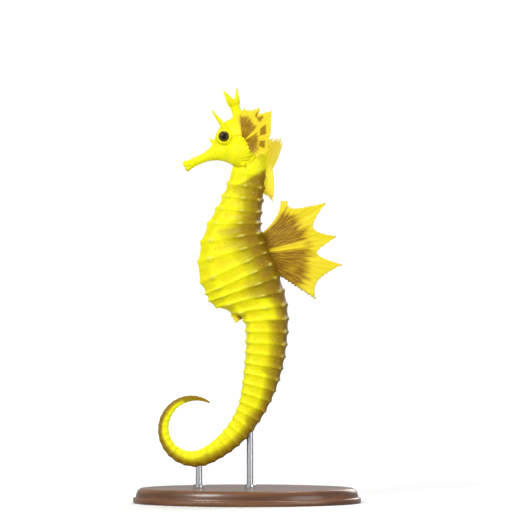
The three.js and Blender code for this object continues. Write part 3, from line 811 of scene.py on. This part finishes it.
def wood_finish():
    """Varnished brown wood, its grain along the oval's length."""
    material, tree = finish(
        "varnished_wood", Roughness=0.34, Coat_Weight=0.35, Coat_Roughness=0.14)
    place = add(tree, "TexCoord").outputs["Object"]
    grain = {"Vector": place, "Scale": (0.12, 1.0, 1.0), "Rotation": (0.05, 0.03, 0.02),
             "Location": (0.0, 0.011, 0.06)}
    along = add(tree, "Mapping", grain).outputs["Vector"]
    swaying = {"Vector": along, "Scale": 60.0, "Detail": 3.0, "Distortion": 0.4}
    sway = add(tree, "TexNoise", swaying).outputs["Fac"]
    yearly = {"Vector": along, "Scale": 95.0, "Distortion": 4.0, "Detail": 3.0, "Detail Scale": 1.2}
    rings = add(tree, "TexWave", yearly, wave_type="RINGS", rings_direction="X").outputs["Fac"]
    pores = noise(tree, along, 1600.0, 3.0)
    body = ramp(tree, rings, (0, (92, 56, 30)), (0.5, (114, 72, 40)), (1, (134, 88, 52)))
    body = blend(tree, spread(tree, sway, 0.35, 0.7, 0, 0.55), body, color((100, 60, 34)))
    body = blend(tree, spread(tree, pores, 0.56, 0.7, 0, 0.5), body, color((64, 37, 20)))
    return driven(material, Base_Color=body, Normal=dimple(tree, pores, 0.03))


def steel_finish():
    """Steel brushed along the rods."""
    material, tree = finish("brushed_steel", Metallic=1.0, Base_Color=color((196, 198, 202)))
    place = add(tree, "TexCoord").outputs["Object"]
    along = add(tree, "Mapping", {"Vector": place, "Scale": (1.0, 1.0, 0.04)}).outputs["Vector"]
    lines = noise(tree, along, per_mm(0.12), 2.0)
    return driven(material, Roughness=spread(tree, lines, 0.3, 0.7, 0.22, 0.4))


def paper_finish():
    return finish("pale_paper", Roughness=0.9, Base_Color=(0.98, 0.98, 0.98, 1))[0]


# ------------ eyes


def make_eye(side, material):
    """A glossy eyeball in the place of the solid one."""
    low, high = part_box(f"eye_{side}")
    bm = bmesh.new()
    bmesh.ops.create_icosphere(bm, subdivisions=5, radius=(high.x - low.x) / 2 / MM,
                               matrix=Matrix.Translation((low + high) / 2 / MM))
    piece(f"eyeball_{side}", bm, material, [f"eye_{side}"])


# ------------ fins


def fan_reach(fan, turn):
    """How far a fan reaches in a direction: to a point at each lobe, less in the bays between."""
    ways, reaches = np.array(fan["lobes"], float).T
    depths, deepest = np.array(fan["bays"], float).T
    turn = np.clip(turn, ways[-1], ways[0])
    i = np.clip(len(ways) - np.searchsorted(ways[::-1], turn, side="right"), 1, len(ways) - 1)
    place = np.clip((turn - ways[i - 1]) / (ways[i] - ways[i - 1]), 0, 1)
    skewed = place ** (math.log(0.5) / np.log(deepest[i - 1]))
    bay = depths[i - 1] * np.sin(math.pi * skewed).clip(0) ** 0.7
    return mix(reaches[i - 1], reaches[i], place) - bay


WEB = 0.26  # the membrane's thickness between two rays


def add_fan(bm, fan, rays, root, rows, bone, push, hollow=0.0, spotted=False, parting=0.52):
    """Adds a fin as a closed leaf in the XZ plane, whose rays stand out on both faces of a thin web.
    root is how far from the fan's centre it starts, and bone how far a ray stands out. push(out, turn)
    gives how far each point is moved sideways, hollow how many degrees the first edge is drawn in, and
    parting where across the fan its brown is parted."""
    first, last = fan["lobes"][0][0], fan["lobes"][-1][0]
    longest = max(reach for turn, reach in fan["lobes"])
    outs = np.linspace(0, 1, rows)

    def shape(row, angle):
        across = np.where(angle <= math.pi, angle / math.pi, 2 - angle / math.pi)
        out = outs[row]
        ray = (0.5 - 0.5 * np.cos(2 * math.pi * rays * across)) ** 1.6
        last_edge = smoothstep(across, 0.98, 1)
        teeth = last_edge * np.abs(np.sin(math.pi * out * rays * 0.8)) * smoothstep(out, 0.1, 0.3)
        turn = mix(first, last, across) + 1.7 * teeth * np.sign(first - last)
        turn = turn - hollow * np.sin(math.pi * out) * np.clip(1 - across / 0.25, 0, 1)
        notch = 0.4 * (1 - np.abs(np.sin(2 * math.pi * rays * across)))
        reach = fan_reach(fan, mix(first, last, across)) - notch * smoothstep(out, 0.85, 1)
        return across, out, ray, turn, mix(root, reach, out)

    def place(row, angle):
        across, out, ray, turn, radius = shape(row, angle)
        side_edge = np.clip(np.minimum(across, 1 - across) * 60, 0, 1)
        taper = np.clip(1 - out**3, 0, 1) * side_edge * (row > 0)
        half = (WEB / 2 + bone * ray * mix(1, 0.3, out)) * np.sqrt(taper)
        aside = np.where(angle <= math.pi, -half, half) + push(out, turn)
        turn = np.radians(turn)
        return np.stack([np.cos(turn) * radius, aside, np.sin(turn) * radius], -1)

    def way(row, angle):
        across, out, ray, turn, radius = shape(row, angle)
        return np.stack([out, across, ray], -1)

    def markings(row, angle):
        across, out, ray, turn, radius = shape(row, angle)
        share = (radius - root) / (longest - root)
        return np.stack([share, np.full(len(out), float(spotted)), np.full(len(out), parting)], -1)

    closed_form(bm, rows, rays * 24, place, {"fanway": way, "markings": markings})


def make_dorsal_fin(material):
    def wave(out, turn):
        return out * np.sin(np.radians(turn) * 3.3 + 2.4 * out) * smoothstep(out, 0.15, 0.8)

    bm = bmesh.new()
    add_fan(bm, DORSAL_FAN, rays=21, root=6.0, rows=60, bone=0.2, push=wave, hollow=5.5)
    bmesh.ops.translate(bm, verts=bm.verts, vec=(DORSAL_CENTRE[0], 0, DORSAL_CENTRE[1]))
    piece("dorsal_membrane", bm, material, ["dorsal_fin"])


def make_pectoral_fin(side, material):
    way = SIDES[side]

    def bow(out, turn):
        return way * (0.8 * out**2 + 0.3 * out * np.sin(np.radians(turn) * 4))

    bm = bmesh.new()
    add_fan(bm, PECTORAL_FAN, rays=15, root=1.2, rows=40, bone=0.15, push=bow, spotted=True, parting=0.47)
    along, up, out = PECTORAL_FOOT
    splayed = Matrix.Rotation(way * PECTORAL_SPLAY, 4, "Z")
    foot = Matrix.Translation(in_head(along, up, way * out)) @ splayed
    bmesh.ops.transform(bm, matrix=foot, verts=bm.verts)
    piece(f"pectoral_membrane_{side}", bm, material, [f"pectoral_fin_{side}"])


def make_anal_fin(material):
    centre, way, back = backbone(np.array([FIRST_RING + ANAL_RING * TRUNK_RING_LENGTH]))
    bm = bmesh.new()
    add_fan(bm, ANAL_FAN, rays=5, root=1.0, rows=20, bone=0.14, push=lambda out, turn: 0 * turn)
    bmesh.ops.translate(bm, verts=bm.verts, vec=centre[0] - 6 * back[0])
    piece("anal_membrane", bm, material, ["anal_fin"])


# ------------ mane

# The nape's line from behind the crown down the neck, as x and z in the plane of the body's middle.
NAPE = np.array([in_head(24.6, 3.0)[[0, 2]], in_head(26.2, 0.6)[[0, 2]], (4.6, 115), (5, 110), (4.5, 104)])
PALE_FROM_NAPE = 7.0  # how far from that line the fronds are at their palest
# The fronds' tips, as x and z, from the first along the nape to the last.
UPPER_TIPS = np.array([(6.8, 120.4), (12.1, 121.9)])
LOWER_TIPS = np.array([(8.6, 100.0), (6.5, 102.8)])
MANE_BACK = 10.2  # x of the fronds that bow out the farthest
ROW_GAP = 0.36


def nape_point(share):
    """A point on the nape's line, at a share of its length."""
    runs = np.concatenate([[0], np.cumsum(np.hypot(*np.diff(NAPE, axis=0).T))])
    x, z = (curve(*zip(runs, column))(share * runs[-1]) for column in NAPE.T)
    return np.array([x, 0, z])


def add_frond(bm, root, bulge, tip, width):
    """Adds a soft tapering filament from a root to a tip, bowed towards a third point between them."""
    rows = 15
    steps = np.linspace(0, 1, rows)[:, None]
    root, bulge, tip = np.array(root), np.array(bulge), np.array(tip)
    line = (1 - steps) ** 2 * root + 2 * steps * (1 - steps) * bulge + steps**2 * tip
    way = 2 * (1 - steps) * (bulge - root) + 2 * steps * (tip - bulge)
    way /= np.linalg.norm(way, axis=1)[:, None]
    flat = np.cross(way, [0, 1, 0])
    flat /= np.linalg.norm(flat, axis=1)[:, None]
    thick = np.cross(flat, way)
    half = width * np.clip(1 - steps**1.8, 0, 1) ** 0.9 * (0.75 + 0.25 * np.sin(math.pi * steps))
    half[[0, -1]] = 0

    def place(row, angle):
        cosine, sine = np.cos(angle)[:, None], np.sin(angle)[:, None]
        return line[row] + half[row] * (cosine * flat[row] + 0.34 * sine * thick[row])

    closed_form(bm, rows, 10, place)


def add_upper_frond(bm, row, i, share):
    """Adds a frond that sweeps up behind the crown. share is its place along the nape's upper stretch."""
    across = ROW_GAP * row
    sway = math.sin(5.1 * i + 1.7 * row)
    root = nape_point(mix(0.0, 0.85, share)) + [0, across, 0]
    x, z = mix(*UPPER_TIPS, share)
    tip = (x - 1.2 * abs(across) + 0.2 * math.sin(2.3 * i),
           0.8 * across + 0.2 * sway,
           z + 0.9 * sway - 1.3 * abs(across))
    bulge = (mix(root[0] + 1, MANE_BACK, share), root[1] * 1.15, mix(root[2], tip[2], 0.37))
    add_frond(bm, root, bulge, tip, mix(0.5, 0.62, share))


def add_lower_frond(bm, row, i, share):
    """Adds a frond that hangs down behind the neck. share is its place along the nape's lower stretch."""
    across = ROW_GAP * row
    sway = math.sin(4.3 * i + 1.3 * row)
    root = nape_point(mix(0.25, 0.98, share)) + [0, across, 0]
    x, z = mix(*LOWER_TIPS, share)
    tip = (x - 0.4 * abs(across),
           0.6 * across + 0.15 * sway,
           z + 0.8 * sway + 1.5 * abs(across))
    halfway = mix(root[2], tip[2], 0.5)
    bulge = (mix(MANE_BACK, root[0] + 0.9, share), root[1], mix(113, halfway, share))
    add_frond(bm, root, bulge, tip, 0.56)


def make_mane(material):
    """Soft fronds along the nape as one strip, seven rows wide, with fewer and shorter ones away from the
    middle row."""
    bm = bmesh.new()
    for row in range(-3, 4):
        upper, lower = 24 - 4 * abs(row), 18 - 3 * abs(row)
        for i in range(upper):
            add_upper_frond(bm, row, i, (i + 0.5) / upper)
        for i in range(lower):
            add_lower_frond(bm, row, i, (i + 0.5) / lower)
    mane = piece("nape_fronds", bm, material, ["mane"])
    spots = vertices_of(mane.data) / MM
    line = np.array([nape_point(share) for share in np.linspace(0, 1, 60)])[:, [0, 2]]
    away = np.sqrt(((spots[:, None, [0, 2]] - line[None]) ** 2).sum(-1)).min(1)
    keep_attribute(mane.data, "frondway", np.clip(away / PALE_FROM_NAPE, 0, 1))


# ------------ stand


def make_stand_base(material):
    """An oval foot with a stepped and rounded edge."""
    long, wide, top = (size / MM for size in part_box("stand_base")[1])
    # The profile's points: how far in from the widest oval, and how high.
    step_in, step_up = 0.95, 2.0
    profile = [(long, 0), (0.35, 0), (0, 0.3), (0, 1.5), (0.15, 1.75), (0.8, 1.85), (step_in, step_up)]
    profile += [(step_in + 2.2 * (1 - math.cos(turn)), step_up + (top - step_up) * math.sin(turn))
                for turn in np.radians(np.linspace(9, 90, 10))]
    profile += [(6, top), (long, top)]
    inward, height = np.array(profile).T
    bm = bmesh.new()

    def place(row, angle):
        inner = inward[row]
        across = wide - inner * wide / long
        return np.stack([np.cos(angle) * (long - inner), np.sin(angle) * across, height[row]], -1)

    closed_form(bm, len(profile), 160, place)
    piece("oval_foot", bm, material, ["stand_base"])


def make_rod(end, material):
    """A round rod with a small collar where it leaves the foot."""
    low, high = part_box(f"stand_rod_{end}")
    middle = (low + high) / 2 / MM
    radius, foot = (high.x - low.x) / 2 / MM, low.z / MM
    top = high.z / MM + 0.7  # its end lies inside the tail
    collar = radius * 1.75
    profile = [(0, foot), (collar, foot), (collar, foot + 0.7), (collar - 0.15, foot + 0.85),
               (radius, foot + 0.95), (radius, top - 0.3), (radius * 0.75, top), (0, top)]
    reach, height = np.array(profile).T
    bm = bmesh.new()
    closed_form(bm, len(profile), 48, lambda row, angle: np.stack(
        [middle.x + np.cos(angle) * reach[row], np.sin(angle) * reach[row], height[row]], -1))
    rod = piece(f"rod_{end}", bm, material, [f"stand_rod_{end}"])
    crease = rod.modifiers.new("crisp edges", "EDGE_SPLIT")
    crease.split_angle = math.radians(40)


# ------------ backdrop, light and camera


def make_backdrop():
    """A round floor of pale paper that bends up into a wall, far out on every side. It throws no light
    back on the animal."""
    turns = np.radians(np.linspace(0, 90, 16))
    reach = np.concatenate([[0, 0.6, 1.5], 1.5 + 0.7 * np.sin(turns), [2.2]])
    height = np.concatenate([[0, 0, 0], 0.7 * (1 - np.cos(turns)), [2.4]])
    bm = bmesh.new()
    closed_form(bm, len(reach), 120, lambda row, angle: np.stack(
        [np.cos(angle) * reach[row], np.sin(angle) * reach[row], height[row]], -1))
    mesh = finished_mesh("backdrop", bm)
    mesh.shade_smooth()
    mesh.materials.append(paper_finish())
    backdrop = new_object("backdrop", mesh)
    backdrop.visible_diffuse = False
    backdrop.visible_glossy = False


def area_light(name, place, target, size, watts):
    light = bpy.data.lights.new(name, "AREA")
    light.shape = "DISK"
    light.size = size
    light.energy = watts
    lamp = new_object(name, light)
    lamp.location = place
    lamp.rotation_euler = (Vector(target) - Vector(place)).to_track_quat("-Z", "Y").to_euler()


def make_light():
    """Large soft lamps round the animal, a ring of them for the wall, and a glow from all around."""
    middle = (0, 0, 0.07)
    area_light("key", (-0.5, -0.8, 0.62), middle, 0.4, 6.3)
    area_light("fill", (0.8, -0.8, 0.2), middle, 0.6, 3.0)
    area_light("low", (-0.7, -0.85, 0.02), middle, 0.5, 0.8)
    area_light("top", (0.15, 0.25, 0.95), middle, 0.4, 2.7)
    area_light("back", (0.45, 0.9, 0.5), middle, 0.6, 3.4)
    for turn in np.radians(np.arange(0, 360, 45)):
        outward = Vector((math.cos(turn), math.sin(turn), 0))
        lamp, wall = outward + Vector((0, 0, 1.1)), outward * 2.2 + Vector((0, 0, 0.25))
        area_light("wall wash", lamp, wall, 0.5, 6.5)
    world = bpy.data.worlds.new("studio")
    world.use_nodes = True
    glow = world.node_tree.nodes["Background"].inputs
    glow["Color"].default_value = (1, 1, 1, 1)
    glow["Strength"].default_value = 0.46
    bpy.context.scene.world = world
    bpy.context.scene.view_settings.view_transform = "Standard"


def make_camera():
    """A long lens, level with the animal's chest and square to its left side."""
    distance, view_width = 1.4, 0.17067
    camera = bpy.data.cameras.new("camera")
    camera.sensor_width = 36
    camera.lens = 36 * distance / view_width
    viewer = new_object("camera", camera)
    viewer.location = (0.003, -distance, 0.0823)
    viewer.rotation_euler = Euler((math.radians(90), 0, 0))
    bpy.context.scene.camera = viewer


# ------------ the model

make_camera()
make_backdrop()
make_light()

make_skin(skin_finish())
eye = eye_finish()
membrane = fin_finish()
steel = steel_finish()
for side in SIDES:
    make_eye(side, eye)
    make_pectoral_fin(side, membrane)
make_dorsal_fin(membrane)
make_anal_fin(membrane)
make_mane(mane_finish())
make_stand_base(wood_finish())
for end in ("front", "back"):
    make_rod(end, steel)
